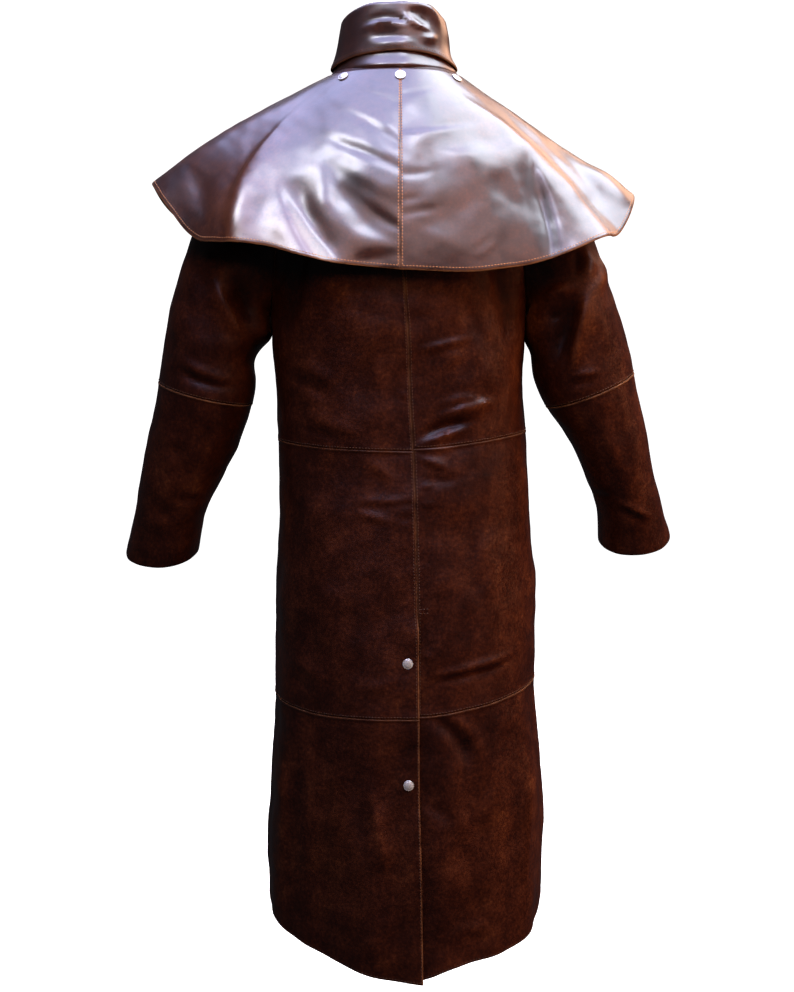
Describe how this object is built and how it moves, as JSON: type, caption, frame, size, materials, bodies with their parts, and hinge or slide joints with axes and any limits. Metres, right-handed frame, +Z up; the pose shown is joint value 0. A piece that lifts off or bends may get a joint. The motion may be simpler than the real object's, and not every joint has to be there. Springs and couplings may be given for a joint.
{
  "type": "leather trench coat",
  "caption": "Full-length dark brown leather coat with a shoulder cape, standing collar, long sleeves and a back vent, filled out as if worn.",
  "frame": {"origin": "inside the neck, in the middle of the seam between the coat and its collar, where the coat hangs from a wearer's shoulders", "axes": "+Z is up along the coat's length, the back of the coat faces +Y, and +X is the wearer's left"},
  "size_m": [0.83, 0.3515, 1.364],
  "materials": {
    "brown_leather": "glossy dark reddish-brown waxed leather with a soft mottle",
    "snap_metal": "polished white metal",
    "tan_thread": "waxed orange-tan thread"
  },
  "bodies": {
    "root": {"back_lower_left": "brown_leather", "back_lower_right": "brown_leather", "back_mid_left": "brown_leather", "back_mid_right": "brown_leather", "back_upper_left": "brown_leather", "back_upper_right": "brown_leather", "cape_left": "brown_leather", "cape_right": "brown_leather", "collar_fall": "brown_leather", "collar_stand": "brown_leather", "front_lower_left": "brown_leather", "front_lower_right": "brown_leather", "front_mid_left": "brown_leather", "front_mid_right": "brown_leather", "front_upper_left": "brown_leather", "front_upper_right": "brown_leather", "sleeve_lower_left": "brown_leather", "sleeve_lower_right": "brown_leather", "sleeve_upper_left": "brown_leather", "sleeve_upper_right": "brown_leather", "snap_cape_left": "snap_metal", "snap_cape_right": "snap_metal", "snap_front_1": "snap_metal", "snap_front_2": "snap_metal", "snap_front_3": "snap_metal", "snap_front_4": "snap_metal", "snap_front_5": "snap_metal", "snap_neck_back": "snap_metal", "snap_neck_left": "snap_metal", "snap_neck_right": "snap_metal", "snap_vent_1": "snap_metal", "snap_vent_2": "snap_metal", "vent_underlap": "brown_leather"}
  },
  "joints": []
}
